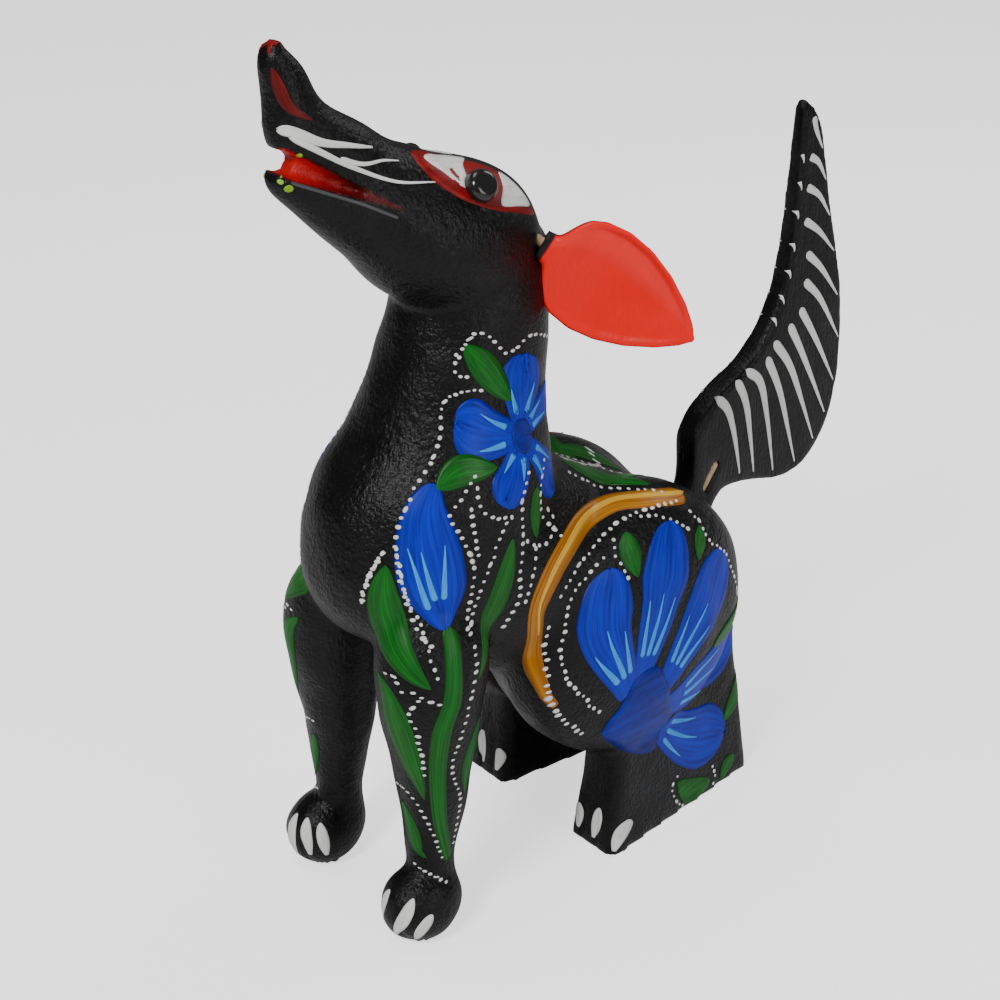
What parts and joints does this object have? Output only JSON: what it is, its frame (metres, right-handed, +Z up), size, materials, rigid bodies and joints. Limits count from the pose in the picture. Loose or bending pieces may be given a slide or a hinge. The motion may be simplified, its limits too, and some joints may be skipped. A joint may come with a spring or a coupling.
{
  "type": "carved coyote figure",
  "caption": "Seated howling coyote carved in wood and painted black with flowers, leaves and dot rows, with plug-on ears and a blade-like tail that turn on loose dowels",
  "frame": {"origin": "the middle of the bounding box on the ground the paws stand on", "axes": "+Z is up, -Y is the way the figure faces, +X is the figure's left side"},
  "size_m": [0.0806, 0.1803, 0.214],
  "materials": {
    "black_paint": "brushed black acrylic paint on carved softwood, satin",
    "red_paint": "bright red acrylic paint on carved softwood, satin",
    "eye_gloss": "gloss black paint on a turned wooden bead",
    "bare_wood": "bare pale dowel"
  },
  "bodies": {
    "block": {"carved_body": "black_paint", "left_eye": "eye_gloss", "right_eye": "eye_gloss"},
    "tail_dowel": {"tail_peg": "bare_wood"},
    "tail": {"tail": "black_paint"},
    "left_ear_dowel": {"left_ear_peg": "bare_wood"},
    "left_ear": {"left_ear": "red_paint"},
    "right_ear_dowel": {"right_ear_peg": "bare_wood"},
    "right_ear": {"right_ear": "red_paint"}
  },
  "joints": [
    {"name": "tail_pull", "type": "slide", "parent": "block", "child": "tail_dowel", "axis": [0, 0.5878, 0.809], "range_m": [0, 0.016]},
    {"name": "tail_turn", "type": "hinge", "parent": "tail_dowel", "child": "tail", "pos_m": [0, 0.0352, 0.0734], "axis": [0, 0.5878, 0.809], "range_deg": [-45, 45]},
    {"name": "left_ear_pull", "type": "slide", "parent": "block", "child": "left_ear_dowel", "axis": [0.637, 0.5736, -0.515], "range_m": [0, 0.009]},
    {"name": "left_ear_turn", "type": "hinge", "parent": "left_ear_dowel", "child": "left_ear", "pos_m": [0.0132, -0.0286, 0.1628], "axis": [0.637, 0.5736, -0.515], "range_deg": [-25, 25]},
    {"name": "right_ear_pull", "type": "slide", "parent": "block", "child": "right_ear_dowel", "axis": [-0.637, 0.5736, -0.515], "range_m": [0, 0.009]},
    {"name": "right_ear_turn", "type": "hinge", "parent": "right_ear_dowel", "child": "right_ear", "pos_m": [-0.0132, -0.0286, 0.1628], "axis": [-0.637, 0.5736, -0.515], "range_deg": [-25, 25]}
  ]
}
